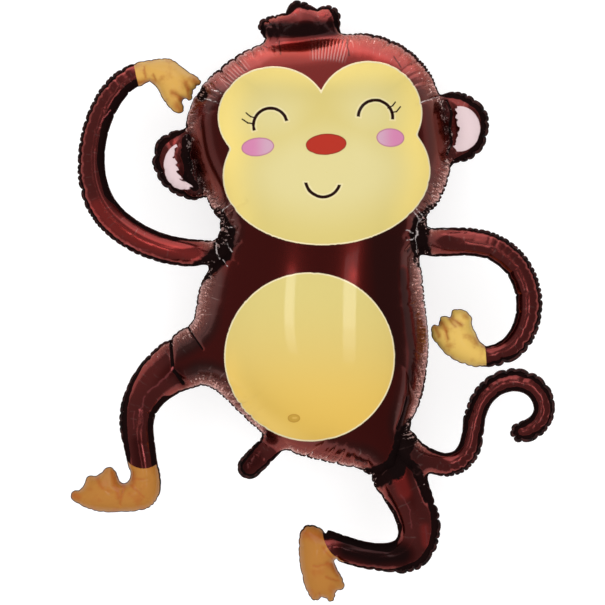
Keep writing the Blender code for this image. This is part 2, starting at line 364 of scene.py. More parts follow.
vertex_at[skin_i, skin_j, skin_k] = np.arange(len(skin_i))
place = np.stack([net_x[skin_i] + MESH / 2, net_y[skin_j] + MESH / 2, skin_k * MESH], 1)


def faces_across(filled, beyond, steps):
    """Quads between full and empty blocks; steps are the four blocks' offsets round the face."""
    i, j, k = np.nonzero(filled != beyond)
    quad = np.stack([vertex_at[i + a, j + b, k + c] for a, b, c in steps], 1)
    return np.where(filled[i, j, k][:, None], quad, quad[:, ::-1])


quads = np.concatenate([
    faces_across(full[:-1, 1:-1, 1:-1], full[1:, 1:-1, 1:-1],
                 ((0, 0, 0), (0, 1, 0), (0, 1, 1), (0, 0, 1))),
    faces_across(full[1:-1, :-1, 1:-1], full[1:-1, 1:, 1:-1],
                 ((0, 0, 0), (0, 0, 1), (1, 0, 1), (1, 0, 0))),
    faces_across(full[1:-1, 1:-1, :-1], full[1:-1, 1:-1, 1:],
                 ((0, 0, 0), (1, 0, 0), (1, 1, 0), (0, 1, 0))),
])
on_seam = skin_k == 0
total_verts = len(place)

sides = np.sort(np.concatenate([quads[:, [k, (k + 1) % 4]] for k in range(4)]), 1)
keys, uses = np.unique(sides[:, 0].astype(np.int64) * total_verts + sides[:, 1], return_counts=True)
links = np.stack([keys // total_verts, keys % total_verts], 1)
seam_links = links[uses == 1]


def neighbour_mean(pairs, values):
    """Mean of each vertex's neighbours over those links."""
    total = np.zeros((total_verts, values.shape[1]))
    for c in range(values.shape[1]):
        total[:, c] = np.bincount(pairs[:, 0], values[pairs[:, 1], c], total_verts)
        total[:, c] += np.bincount(pairs[:, 1], values[pairs[:, 0], c], total_verts)
    return total / np.maximum(np.bincount(pairs.ravel(), minlength=total_verts), 1)[:, None]


def onto_sheet(points, rounds):
    """Points moved along the slope until they lie on the sheet."""
    for _ in range(rounds):
        x, y, z = points.T
        error = height_squared(x, y) - z * z
        slope_x = (height_squared(x + 0.4, y) - height_squared(x - 0.4, y)) / 0.8
        slope_y = (height_squared(x, y + 0.4) - height_squared(x, y - 0.4)) / 0.8
        slope = np.stack([slope_x, slope_y, np.where(on_seam, 0, -2 * z)], 1)
        move = slope * (error / ((slope ** 2).sum(1) + 4.0))[:, None]
        length = np.linalg.norm(move, axis=1)
        points = points - move * np.minimum(1, MESH / np.maximum(length, 1e-9))[:, None]
        points[on_seam, 2] = 0
    return points


def relaxed(points, rounds, hold_seam):
    """Points evened out along the sheet."""
    for _ in range(rounds):
        held = points[on_seam].copy()
        points = points + 0.5 * (neighbour_mean(links, points) - points)
        points[on_seam] = held
        points = onto_sheet(points, 2)
        if hold_seam:
            points[on_seam] = held
    return points


place = relaxed(onto_sheet(place, 4), 4, False)

# The seam's own vertices, in order, are spread evenly round the edge.
seam_loop = np.array(walked(seam_links.tolist()))
around = nearest(place[seam_loop, :2])[0]
steps = (np.roll(around, -1) - around + count / 2) % count - count / 2
if steps.sum() < 0:
    seam_loop, around = seam_loop[::-1], around[::-1]
    steps = (np.roll(around, -1) - around + count / 2) % count - count / 2
even = np.arange(len(seam_loop)) * count / len(seam_loop)
drift = around[0] + np.concatenate([[0], np.cumsum(steps)[:-1]]) - even
around = even + softened(drift, 6.0)


def along_edge(values, where):
    """A value kept round the edge, read at any place along it."""
    i = np.floor(where).astype(int)
    f = where - i
    f = f if values.ndim == 1 else f[:, None]
    return values[i % count] * (1 - f) + values[(i + 1) % count] * f


place[seam_loop, :2] = along_edge(edge, around)
place = relaxed(place, 4, True)

# Puckers. Each one has a place along the seam; coarser ones reach further in.
seam_place, inset, _ = nearest(place[:, :2])
seam_place[seam_loop] = around % count
inset[seam_loop] = 0
from_seam = np.hypot(inset, place[:, 2])
SEED = 11
random = np.random.default_rng(SEED)


def wander(spread):
    """Smooth random values round the seam, of unit spread."""
    values = softened(random.standard_normal(count), spread)
    return values / values.std()


half_height = np.zeros(count)
reached = np.ones(count, bool)
for depth in range(4, 60, 4):
    probe = edge - edge_out * depth
    reached &= sampled(inside.astype(float), probe) > 0.5
    half_height = np.maximum(half_height, np.where(reached, sampled(depth_grid, probe), 0))
tube_radius = softened(half_height, 8.0)
on_body = softened(np.clip((half_height - 30) / 25, 0, 1), 8.0)
bend = bending(edge_along, 10.0)
bulging = np.clip((bend + 0.001) / 0.009, 0, 1)
hollow = np.clip(-bend / 0.012, 0, 1)
gathered = (1 - on_body) * (0.12 + 0.95 * bulging) + on_body * (0.9 - 0.4 * hollow)
gathered = softened(gathered * (1 - 0.6 * near_fingers(edge)), 6.0)

# Tail, bent leg, ears and tuft have wide lobes, and the filler tongue is nearly smooth: middle,
# reach, spacing and how much deeper.
LOBED = ((240, -115, 95, 13.0, 1.5), (125, -305, 80, 12.0, 1.4), (-165, 185, 48, 11.0, 1.8),
         (212, 225, 48, 11.0, 1.8), (0, 372, 60, 11.0, 1.5), (-80, -218, 36, 9.0, 0.25))
spacing = np.clip(0.5 * tube_radius, 5.0, 9.5) * (1 - on_body) + 5.6 * on_body
for x, y, reach, lobe, deeper in LOBED:
    share = np.clip((reach - np.hypot(edge[:, 0] - x, edge[:, 1] - y)) / 15, 0, 1) * (1 - on_body)
    spacing += (lobe - spacing) * share
    gathered *= 1 + (deeper - 1) * share
spacing = softened(spacing, 6.0)
gathered = softened(gathered, 4.0)
# The count of puckers is a multiple of 16, so that each size of pucker meets itself.
WHOLE = 16
UNEVEN_SPACING, UNEVEN_SLANT = 0.3, 0.22
phase = np.cumsum(1 / spacing)
turns = round(phase[-1] / WHOLE) * WHOLE
phase *= turns / phase[-1]
phase += UNEVEN_SPACING * (wander(9) + wander(16) + wander(30))
slant = UNEVEN_SLANT * wander(22)


def pucker_phase(where):
    """The running count of puckers at any place along the seam."""
    i = np.floor(where).astype(int)
    f = where - i
    before = phase[i % count] + turns * np.floor_divide(i, count)
    after = phase[(i + 1) % count] + turns * np.floor_divide(i + 1, count)
    return before * (1 - f) + after * f


# Height and reach in millimetres of each size of pucker, on the body and on the limbs, and
# how much of it is missing right at the seam.
PUCKERS = (
    ((1.4, 12), (1.5, 7), 0.0),
    ((2.2, 20), (1.7, 10), 0.25),
    ((2.2, 30), (1.0, 15), 0.55),
    ((1.8, 48), (0.0, 30), 0.8),
)
counted = pucker_phase(seam_place + from_seam * along_edge(slant, seam_place))
body_share = along_edge(on_body, seam_place)
run_in = np.maximum(from_seam * (1 - body_share) + 1.5 * inset * body_share, 0)
swell = np.zeros(total_verts)
for level, (body, limb, late) in enumerate(PUCKERS):
    height = body[0] * body_share + limb[0] * (1 - body_share)
    reach = body[1] * body_share + limb[1] * (1 - body_share)
    ridge = np.abs(np.sin(math.pi * counted / 2 ** level)) ** 0.75 - 0.7
    onset = 1 - late * np.exp(-run_in / 6)
    uneven = along_edge(np.clip(1 + 0.4 * wander(10 * 2 ** level), 0.25, 1.8), seam_place)
    swell += height * ridge * onset * np.exp(-(run_in / reach) ** 1.3) * uneven
swell *= along_edge(gathered, seam_place)

# Sharp tension folds that cross the hollow side of each bend, in millimetres.
FOLD_DEPTH, FOLD_HALF_WIDTH, FOLD_REACH = 1.6, 1.6, 30
fold_count = pucker_phase(seam_place) / 4
fold_gap = np.abs(fold_count - np.round(fold_count)) * 4 * along_edge(spacing, seam_place)
fold_share = along_edge(softened(hollow * (1 - on_body), 6.0), seam_place)
fold_share *= along_edge(np.clip(0.5 + 0.8 * wander(40), 0, 1.6), seam_place)
swell -= (FOLD_DEPTH * fold_share * np.exp(-fold_gap / FOLD_HALF_WIDTH)
          * np.exp(-(from_seam / FOLD_REACH) ** 2))

# Creases in millimetres: where each runs, how deep it is, its half width, and how far to either
# side it is painted black, part print and part painted shade in the hollow. A negative depth is a raised
# fold.
CREASES = (
    (((-112, 108), (-100, 86), (-104, 64), (-121, 49), (-136, 38)), 7.0, 7.0, 17),
    (((-104, 66), (-80, 78)), 1.5, 3.0, 0), (((-104, 60), (-84, 50)), 1.5, 3.0, 0),
    (((-100, 84), (-84, 98)), 1.5, 3.0, 0), (((-94, 118), (-73, 129)), 1.5, 3.0, 0),
    (((172, 116), (157, 104), (150, 88), (153, 70), (158, 54)), 7.0, 7.0, 15),
    (((150, 92), (132, 84)), 1.5, 3.0, 0), (((152, 100), (137, 113)), 1.5, 3.0, 0),
    (((150, 80), (134, 66)), 2.0, 3.0, 0),
    (((70, -232), (98, -226), (120, -214), (128, -196), (134, -176), (149, -160)), 9.0, 9.0, 18),
    (((128, -200), (146, -213), (157, -236), (164, -254)), 6.0, 6.0, 8),
    (((-172, -44), (-171, -60), (-168, -86), (-154, -106)), 4.0, 4.0, 3),
    (((-151, -28), (-143, -40), (-129, -60)), 2.2, 2.5, 1.5), (((-137, 281), (-129, 267)), 2.0, 3.0, 9),
    (((-168, -86), (-175, -103), (-197, -115), (-204, -126), (-208, -158)), -1.3, 2.5, 0),
    (((185, -38), (187, -48)), 2.5, 2.5, 0), (((200, -22), (207, -27)), 2.5, 2.5, 0),
    (((-205, 308), (-204, 300), (-203, 292)), 2.0, 2.5, 0), (((-194, 296), (-193, 290)), 1.4, 2.0, 0),
    (((-150, 280), (-141, 275)), 3.0, 3.0, 0), (((-166, 269), (-150, 262)), 3.0, 3.0, 0),
    (((-232, -243), (-237, -262)), 2.2, 2.5, 0), (((-216, -238), (-200, -255)), 1.8, 2.5, 0),
    (((-210, -229), (-196, -228)), 1.8, 2.5, 0), (((16, -341), (33, -338)), 2.0, 2.5, 0),
    (((33, -354), (48, -362)), 2.0, 2.5, 0), (((149, 255), (177, 267)), 1.5, 3.0, 0),
    (((187, 262), (193, 246), (191, 226), (194, 208), (188, 192)), 2.0, 4.0, 2.2),
    (((-150, 212), (-152, 192), (-147, 176), (-149, 163), (-141, 150)), 2.0, 4.0, 8),
    (((135, -122), (131, -140), (123, -162)), 2.0, 3.0, 1.5),
    (((-35, 320), (-35, 345)), 1.2, 3.0, 0),
)
flat = place[:, :2].copy()
crease_black_print_and_shade = np.zeros(total_verts)
for route, depth, half_width, black in CREASES:
    corners = np.array(route, float)
    near = np.all((flat > corners.min(0) - 40) & (flat < corners.max(0) + 40), axis=1)
    gap = route_gap(flat[near], route)
    swell[near] -= depth * np.exp(-gap / half_width)
    if black:
        crease_black_print_and_shade[near] = np.maximum(crease_black_print_and_shade[near], 1.5 - gap / black)


def vertex_normals(points):
    """Unit normals out of the sheet."""
    across = np.cross(points[quads[:, 2]] - points[quads[:, 0]],
                      points[quads[:, 3]] - points[quads[:, 1]])
    total = np.zeros_like(points)
    for axis in range(3):
        for k in range(4):
            total[:, axis] += np.bincount(quads[:, k], across[:, axis], total_verts)
    total[on_seam, 2] = 0
    return total / np.maximum(np.linalg.norm(total, axis=1), 1e-9)[:, None]


normals = vertex_normals(place)
if normals[:, 2].mean() < 0:
    normals = -normals
    quads = quads[:, ::-1]
gathered_place = place + normals * swell[:, None]
gathered_place[on_seam, 2] = 0


# The print's larger areas, kept on the mesh as distances in from their edges, in millimetres.
def oval(points, centre, radii, tilt=0.0):
    """Distance in from an oval's edge, negative outside."""
    c, s = math.cos(math.radians(tilt)), math.sin(math.radians(tilt))
    x, y = (points - np.array(centre)).T
    turned = np.stack([x * c + y * s, y * c - x * s], 1)
    near = np.linalg.norm(turned / radii, axis=1)
    steep = np.linalg.norm(turned / np.square(radii), axis=1)
    return near * (1 - near) / np.maximum(steep, 1e-9)


def right_of(points, start, end):
    """Distance to the right of a line from start to end."""
    start, run = np.array(start, float), np.subtract(end, start).astype(float)
    run /= np.linalg.norm(run)
    return (points[:, 0] - start[0]) * run[1] - (points[:, 1] - start[1]) * run[0]


def print_areas(points):
    """Hands and feet, and the pale of the ears, at points of the flat sheet."""
    x, y = points.T
    left_hand = np.minimum.reduce([
        right_of(points, (-213, 281), (-218, 305)), 0.83 * (0.674 * (y - 284) - 129.8 - x), y - 240])
    right_hand = np.minimum.reduce([
        right_of(points, (237, -57), (239, -83)), x - 165.3, -3 - y, y + 92])
    left_foot = np.minimum.reduce([-oval(points, (-206, -185), (30, 30)), -190 - y, -178 - x])
    right_foot = np.minimum.reduce([-oval(points, (72, -294), (46, 46)), 54 - x, -283 - y])
    torn = 3.0 * np.sin(y / 4.3 + 0.12 * x) * np.sin(y / 2.3 + 1) + 1.2 * np.sin(y / 1.13 + 0.7 * x)
    left_ear = np.minimum(oval(points, (-153, 177), (27, 31)),
                          torn - oval(points, (-128, 190), (37, 45)))
    right_ear = np.minimum(oval(points, (203, 225), (27.5, 29.5)),
                           torn - oval(points, (170, 225), (31, 60)))
    return {
        "skin": np.maximum.reduce([left_hand, right_hand, left_foot, right_foot]),
        "ear": np.maximum(left_ear, right_ear),
    }


def add_sheet(name, points, faces, values):
    """A mesh object from points in millimetres over the seam, with its values by name."""
    mesh = bpy.data.meshes.new(name)
    mesh.from_pydata((points * MM + (0, 0, SEAM_HEIGHT)).tolist(), [], faces.tolist())
    for key, value in values.items():
        kind = "FLOAT" if value.ndim == 1 else "FLOAT_VECTOR"
        field = "value" if value.ndim == 1 else "vector"
        layer = mesh.attributes.new(key, kind, "POINT")
        layer.data.foreach_set(field, np.ascontiguousarray(value, np.float32).ravel())
    mesh.shade_smooth()
    made = bpy.data.objects.new(name, mesh)
    bpy.context.scene.collection.objects.link(made)
    return made


sheet_values = print_areas(flat)
sheet_values["flat_place"] = np.column_stack([flat, np.zeros(total_verts)])
sheet_values["seam_way"] = np.column_stack([seam_place, run_in, inset])

# Fine crinkles stay beside the weld, and away from where two sides of the weld are equally near.
BODY_CRINKLES = 33  # millimetres in
LIMB_CRINKLES = 0.75  # of a limb's radius
crinkled_reach = LIMB_CRINKLES * along_edge(tube_radius, seam_place) * (1 - body_share)
crinkled_reach += BODY_CRINKLES * body_share
jump = np.abs(seam_place[links[:, 0]] - seam_place[links[:, 1]])
split_links = links[(jump > 10) & (jump < count - 10)]
apart = np.zeros(total_verts)
apart[split_links.ravel()] = 1
for _ in range(5):
    apart = np.maximum(apart, neighbour_mean(links, apart[:, None])[:, 0])
low_edge = np.clip(1.5 - route_gap(flat, ((-40, -188), (30, -208), (92, -235))) / 30, 0, 1)
crinkled_reach *= 1 - 0.55 * low_edge
crinkled = np.clip(1.5 * (1 - run_in / crinkled_reach), 0, 1) * np.clip(1 - 3 * apart, 0, 1)
crinkled *= 0.25 + 0.75 * body_share
# Painted shade on the body's sides near the weld, the ear roots and the right chest.
side_shade = np.clip((58 - run_in) / 18, 0, 1) * np.clip(1.25 * body_share - 0.1, 0, 1)
EAR_ROOTS = (((-149, 236), (-146, 205), (-142, 180), (-131, 155), (-118, 135)),
             ((176, 276), (185, 248), (189, 215), (189, 182)))
for route in EAR_ROOTS:
    gap = route_gap(flat, route)
    crinkled = np.maximum(crinkled, np.clip(1.2 - gap / 9, 0, 1))
    on_head = np.clip((165 - np.abs(flat[:, 0] - 24)) / 6, 0, 1)
    side_shade = np.maximum(side_shade, np.clip((40 - gap) / 15, 0, 1) * on_head)
gap = route_gap(flat, ((112, 95), (113, 40), (117, 0), (126, -60)))
side_shade = np.maximum(side_shade, 0.75 * np.clip((36 - gap) / 16, 0, 1) * body_share)
sheet_values["crinkled"] = crinkled * (1 - 0.4 * np.clip((flat[:, 1] - 270) / 20, 0, 1))
sheet_values["side_shade"] = side_shade * np.clip((302 - flat[:, 1]) / 30, 0, 1) * (1 - 0.8 * low_edge)

# Beside the weld the limbs are painted black, part print and part painted shade of their steep sides. Route,
# reach, and how much wider the band is there.
BLACK_EDGES = (
    (((-212, 284), (-249, 255), (-257, 184), (-247, 145)), 18, 7.0),
    (((-247, 145), (-221, 112), (-172, 84)), 14, 2.5),
    (((-205, -50), (-221, -68), (-236, -110), (-239, -140), (-235, -197)), 18, 6.5),
    (((-186, -120), (-194, -154), (-189, -208)), 14, 4.5),
    (((165, -240), (172, -265), (174, -294), (163, -335), (138, -352)), 20, 6.5),
    (((27, -294), (75, -308), (111, -316)), 14, 9.0), (((124, -288), (120, -262)), 14, 2.0),
    (((-165, 150), (-175, 185), (-160, 215)), 30, 5.0), (((205, 265), (235, 225), (205, 185)), 30, 5.0),
    (((-60, 375), (60, 375)), 30, 5.0), (((-60, -190), (-95, -230)), 30, 1.5),
    (((170, -175), (215, -165), (230, -110), (265, -90), (300, -120), (285, -160)), 30, 3.0),
)
band_width = np.full(total_verts, 2.0)
for route, reach, wider in BLACK_EDGES:
    band_width += wider * np.clip(2 - 2 * route_gap(flat, route) / reach, 0, 1)
sheet_values["black_band"] = band_width * (1 - body_share) - inset

# Painted highlights and painted shade on the film: route, reach and how much, below nothing
# for painted shade.
PAINTED_LIGHT_AND_SHADE = (
    (((-267, 126), (-244, 98), (-215, 81), (-187, 71), (-158, 65), (-134, 61)), 10, 0.8),
    (((-180, -75), (-215, -110)), 12, 0.2), (((125, -228), (131, -244)), 10, 1.3),
    (((158, -292), (160, -312)), 7, 0.9), (((-176, 212), (-168, 208)), 5, 0.6),
    (((-62, -203), (-92, -226)), 14, -0.6), (((-46, 352), (0, 352), (50, 354)), 10, -1.2),
    (((-40, 366), (0, 372), (40, 366)), 14, -0.3), (((-12, 378), (-6, 376)), 5, 0.7),
    (((24, 373), (31, 372)), 5, 0.7),
    (((128, -326), (95, -328), (60, -318)), 18, -0.95), (((-214, -180), (-211, -210)), 12, -0.5),
    (((128, 40), (132, 0), (137, -37), (141, -64), (138, -124), (125, -166)), 7, -0.95),
    (((-14, 44), (-14, 38)), 7, 0.35), (((65, 40), (66, 30)), 7, 0.4),
    (((-60, -170), (-10, -180), (40, -196), (85, -220)), 12, -0.3),
    (((-22, 334), (20, 335), (52, 338)), 7, 0.4),
    (((-66, 320), (-20, 327), (20, 322), (62, 328), (106, 311)), 12, 0.35),
    (((-160, 172), (-150, 150)), 7, -0.6), (((199, 245), (201, 225), (198, 205)), 5, -0.5),
    (((-161, -90), (-152, -108)), 9, -0.6),
    (((-134, 250), (-127, 205), (-120, 175), (-106, 140)), 13, -0.45),
    (((174, 240), (178, 205), (176, 170)), 12, -0.35),
)
painted_light_and_shade = np.zeros(total_verts)
for route, reach, amount in PAINTED_LIGHT_AND_SHADE:
    painted_light_and_shade += amount * np.exp(-(route_gap(flat, route) / reach) ** 2)
sheet_values["painted_light_and_shade"] = painted_light_and_shade
sheet_values["crease_black_print_and_shade"] = crease_black_print_and_shade
front_sheet = add_sheet("front_sheet", gathered_place, quads, sheet_values)

# Smooth places need few faces and puckers many, so the even mesh is thinned out to a budget.
FACE_BUDGET = 196000
thinning = front_sheet.modifiers.new("thinning", "DECIMATE")
thinning.ratio = FACE_BUDGET / (2 * len(quads))
evaluated = front_sheet.evaluated_get(bpy.context.evaluated_depsgraph_get())
thinned = bpy.data.meshes.new_from_object(evaluated, preserve_all_data_layers=True,
                                          depsgraph=bpy.context.evaluated_depsgraph_get())
front_sheet.modifiers.clear()
front_sheet.data = thinned
thinned.shade_smooth()


# Node helpers, used for every material below.
class NodeTree:
    """A shader tree, with a short call for each kind of node used below."""

    def __init__(self, tree):
        self.tree, self.nodes = tree, tree.nodes

    def link(self, socket, value):
        """Connects a socket, or sets it to a plain value."""
        if isinstance(value, bpy.types.NodeSocket):
            self.tree.links.new(value, socket)
        else:
            socket.default_value = value

    def filled(self, kind, values, **settings):
        """A new node with its settings, and its first sockets filled in order."""
        node = self.nodes.new("ShaderNode" + kind)
        for name, setting in settings.items():
            setattr(node, name, setting)
        for socket, value in zip(node.inputs, values):
            self.link(socket, value)
        return node

    def math(self, operation, *values):
        return self.filled("Math", values, operation=operation).outputs[0]

    def times(self, first, *others):
        for other in others:
            first = self.math("MULTIPLY", first, other)
        return first

    def most(self, first, *others):
        for other in others:
            first = self.math("MAXIMUM", first, other)
        return first

    def vector(self, operation, *values):
        outputs = self.filled("VectorMath", values, operation=operation).outputs
        return outputs["Value" if operation in ("LENGTH", "DOT_PRODUCT") else "Vector"]

    def parts(self, vector):
        return self.filled("SeparateXYZ", (vector,)).outputs

    def turned(self, place, centre, tilt):
        """A place as seen from a centre, turned back by a tilt."""
        node = self.filled("VectorRotate", (self.vector("SUBTRACT", place, centre),), rotation_type="Z_AXIS")
        self.link(node.inputs["Angle"], self.math("MULTIPLY", tilt, -1.0))
        return node.outputs[0]

    def fade(self, value, start, end):
        """0 up to start, 1 from end on."""
        return self.filled("MapRange", (value, start, end), interpolation_type="SMOOTHSTEP").outputs[0]

    def mixed(self, share, first, second):
        """One colour over another."""
        node = self.filled("Mix", (share,), data_type="RGBA")
        self.link(node.inputs[6], first)
        self.link(node.inputs[7], second)
        return node.outputs[2]

    def attribute(self, name, output="Fac"):
        return self.filled("Attribute", (), attribute_name=name).outputs[output]

    def noise(self, place, scale, detail=3.0, output="Fac"):
        node = self.filled("TexNoise", (place,))
        node.inputs["Scale"].default_value = scale
        node.inputs["Detail"].default_value = detail
        return node.outputs[output]

    def bumped(self, height, strength, distance):
        """Shading tilted by a height, given in steps of a distance."""
        node = self.filled("Bump", ())
        node.inputs["Strength"].default_value = strength
        node.inputs["Distance"].default_value = distance
        self.link(node.inputs["Height"], height)
        return node.outputs["Normal"]

    def use(self, group, **values):
        """Adds a group to the tree; keyword names are socket names with _ for spaces."""
        node = self.filled("Group", (), node_tree=group.tree)
        for key, value in values.items():
            self.link(node.inputs[key.replace("_", " ")], value)
        return node.outputs


def new_group(name, inputs, outputs):
    """A node group with its sockets; returns the tree, its inputs and its output node."""
    tree = bpy.data.node_groups.new(name, "ShaderNodeTree")
    for side, sockets in (("INPUT", inputs), ("OUTPUT", outputs)):
        for socket_name, kind in sockets.items():
            tree.interface.new_socket(socket_name, in_out=side, socket_type="NodeSocket" + kind)
    given = tree.nodes.new("NodeGroupInput").outputs
    result = tree.nodes.new("NodeGroupOutput").inputs
    return NodeTree(tree), given, result


def linear(red, green, blue):
    """A colour given in the usual 0 to 255 steps, as a linear colour."""
    def channel(value):
        value /= 255
        return value / 12.92 if value <= 0.04045 else ((value + 0.055) / 1.055) ** 2.4
    return (channel(red), channel(green), channel(blue), 1.0)


# Strokes of the printed face. Each group gives 1 inside its shape, in millimetres on the sheet.
arc, given, result = new_group(
    "arc_stroke",
    {"Place": "Vector", "Centre": "Vector", "Tilt": "Float", "Radius": "Float", "Cut": "Float",
     "Half Width": "Float"},
    {"Mask": "Float"})
turned = arc.turned(given["Place"], given["Centre"], given["Tilt"])
off_circle = arc.math("ABSOLUTE", arc.math("SUBTRACT", arc.vector("LENGTH", turned), given["Radius"]))
off_line = arc.math("SUBTRACT", off_circle, given["Half Width"])
below = arc.math("SUBTRACT", given["Cut"], arc.parts(turned)["Y"])
arc.link(result["Mask"], arc.fade(arc.most(off_line, below), 0.5, -0.5))

straight, given, result = new_group(
    "straight_stroke",
    {"Place": "Vector", "Start": "Vector", "End": "Vector", "Half Width": "Float", "Softness": "Float"},
    {"Mask": "Float"})
run = straight.vector("SUBTRACT", given["End"], given["Start"])
reach = straight.vector("SUBTRACT", given["Place"], given["Start"])
share = straight.math("DIVIDE", straight.vector("DOT_PRODUCT", reach, run),
                      straight.vector("DOT_PRODUCT", run, run))
clamped = straight.filled("Clamp", (share,)).outputs[0]
on_run = straight.filled("VectorMath", (run,), operation="SCALE")
straight.link(on_run.inputs["Scale"], clamped)
off = straight.vector("LENGTH", straight.vector("SUBTRACT", reach, on_run.outputs["Vector"]))
straight.link(result["Mask"], straight.fade(
    straight.math("SUBTRACT", off, given["Half Width"]),
    given["Softness"], straight.math("MULTIPLY", given["Softness"], -1.0)))

oval_print, given, result = new_group(
    "oval_spot",
    {"Place": "Vector", "Centre": "Vector", "Tilt": "Float", "Radii": "Vector"}, {"Inset": "Float"})
once = oval_print.vector("DIVIDE", oval_print.turned(given["Place"], given["Centre"], given["Tilt"]),
                         given["Radii"])
twice = oval_print.vector("DIVIDE", once, given["Radii"])
near = oval_print.vector("LENGTH", once)
inwards = oval_print.times(near, oval_print.math("SUBTRACT", 1.0, near))
oval_print.link(result["Inset"], oval_print.math(
    "DIVIDE", inwards, oval_print.most(oval_print.vector("LENGTH", twice), 0.0001)))

# The face's strokes in millimetres: centre, tilt in degrees, radius and where the arc is cut off.
EYES_AND_MOUTH = (((-41, 226), 16, 21.5, -1), ((93, 236), -4, 22, -1), ((26, 156), 176, 22, 5))
LASHES = (
    ((-61, 235.5), (-66, 237)), ((-66, 237), (-72, 242)),
    ((-62, 227.5), (-70, 229)), ((-70, 229), (-77, 234)),
    ((109, 248), (115, 251)), ((115, 251), (118.5, 256)),
    ((113, 242.5), (120, 243.5)), ((120, 243.5), (125, 250)),
)
LINE_HALF_WIDTH = 2.0
HALO_HALF_WIDTH = 4.2
LASH_HALF_WIDTH = 0.9
CHEEKS = (((-57, 198), (21, 12), 5), ((112, 210), (18, 12), 0))
NOSE = ((30, 201), (26, 13.5), 4)
NAVEL = ((-11, -148), (8, 5.5), 0)
NAVEL_MIDDLE = ((-10, -147.6), (4.4, 2.4), 0)

# Painted shade in the folds of the hands and feet, as half width and the points they join.
SHADED_SKIN_FOLDS = (
    (1.0, (-205, 306), (-204, 291)), (1.2, (-194, 295), (-191, 289)), (3.0, (-215, 286), (-196, 285)),
    (2.5, (-151, 285), (-147, 276)), (2.0, (-147, 276), (-148, 267)), (3.0, (-168, 272), (-158, 264)),
    (2.0, (-158, 264), (-149, 262)), (4.0, (-163, 256), (-158, 250)), (3.0, (-140, 288), (-137, 283)),
    (2.5, (181, -26), (186, -36)), (2.0, (186, -36), (187, -47)), (2.0, (194, -20), (205, -28)),
    (1.5, (191, -22), (198, -31)), (2.0, (172, -32), (177, -44)), (1.5, (228, -45), (236, -58)),
    (2.5, (-238, -226), (-232, -238)), (1.2, (-232, -238), (-236, -262)), (1.0, (-222, -236), (-205, -253)),
    (0.8, (-220, -229), (-205, -229)), (2.0, (-266, -228), (-259, -240)), (2.5, (-247, -221), (-243, -236)),
    (2.0, (-220, -236), (-219, -222)), (3.0, (-297, -250), (-291, -253)), (2.5, (-240, -240), (-238, -252)),
    (5.0, (4, -299), (22, -304)), (1.0, (14, -342), (38, -339)), (1.0, (26, -318), (39, -333)),
    (1.0, (31, -355), (48, -361)), (1.2, (22, -377), (24, -391)), (2.5, (34, -338), (46, -352)),
)
# Hard little folds by the joints, with painted pale glints.
GLINTING_FOLDS = (
    (0.7, (-113, 78), (-112, 58)), (0.6, (-103, 78), (-90, 66)), (0.7, (-104, 117), (-92, 126)),
    (0.5, (-106, 56), (-95, 46)), (0.6, (-98, 96), (-88, 97)),
    (0.8, (142, 118), (153, 106)), (0.8, (153, 106), (152, 86)), (0.7, (152, 86), (150, 62)),
    (0.7, (146, 121), (160, 108)), (0.8, (157, 104), (170, 119)), (0.6, (132, 92), (146, 90)),
    (0.6, (134, 80), (147, 82)), (0.8, (165, 98), (188, 96)), (0.6, (149, 255), (178, 268)),
    (0.6, (-126, 262), (-96, 252)), (0.6, (-118, 275), (-104, 268)),
)
# Long folds by the knees and the shoulders, with painted pink highlights.
LIT_FOLDS = (
    (1.0, (-168, -86), (-177, -98)), (1.0, (-177, -98), (-201, -116)), (0.9, (-204, -121), (-212, -148)),
    (0.5, (-218, -140), (-219, -164)), (0.5, (-207, -140), (-208, -166)), (0.5, (-208, -184), (-203, -206)),
    (0.6, (127, -248), (138, -268)), (0.5, (138, -268), (142, -292)), (0.7, (160, -290), (161, -314)),
    (0.5, (-262, 232), (-250, 250)), (0.5, (-232, 76), (-200, 66)),
)
# Narrow creases that run up the forehead, in painted shade.
DARK_FOLDS = (
    (1.1, (-30, 337), (-27, 320)), (1.1, (57, 338), (60, 317)), (1.0, (-84, 310), (-73, 298)),
    (1.0, (117, 316), (127, 302)), (0.9, (20, 336), (19, 326)),
)

# The yellow face is three ovals run together, and the belly is one more.
BROWS = (((-38, 238), (70.5, 64), 0), ((86, 244), (67.5, 65), 0))
JOWLS = ((31, 165), (133, 92), 3)
BELLY = ((9, -70), (109, 108), 0)

BROWN_FILM = (0.112, 0.011, 0.009, 1.0)
EDGE_FILM = (0.155, 0.017, 0.015, 1.0)
PAINTED_HIGHLIGHT_FILM = (0.42, 0.035, 0.03, 1.0)
PAINTED_SHADE_FILM = (0.022, 0.005, 0.005, 1.0)
SIDE_SHADE_FILM = (0.034, 0.012, 0.011, 1.0)
GLINT_FILM = (0.5, 0.37, 0.345, 1.0)
FACE_MIDDLE_SHEEN = linear(206, 194, 137)
FACE_EDGE = linear(200, 183, 112)
FACE_SIDE_LIGHT = linear(229, 206, 122)
BELLY_YELLOW = linear(202, 186, 114)
BELLY_LOW = linear(211, 174, 84)
BELLY_RIM_LIGHT = linear(234, 198, 104)
PRINT_EDGE = linear(222, 208, 168)
HAND_TAN = linear(211, 174, 90)
RAISED_HAND_TAN = linear(203, 157, 79)
FOOT_TAN = linear(168, 112, 50)
SKIN_SHADE = linear(160, 84, 36)
EAR_PINK = linear(212, 190, 192)
CHEEK_LILAC = linear(192, 152, 172)
CHEEK_PINK = linear(196, 124, 160)
NOSE_RED = linear(166, 48, 36)
LINE_BROWN = linear(34, 14, 12)
GLINT_PALE = linear(190, 178, 176)
FOLD_HIGHLIGHT_PINK = linear(168, 82, 84)
BLACK_PRINT_AND_SHADE = (0.006, 0.003, 0.003, 1.0)

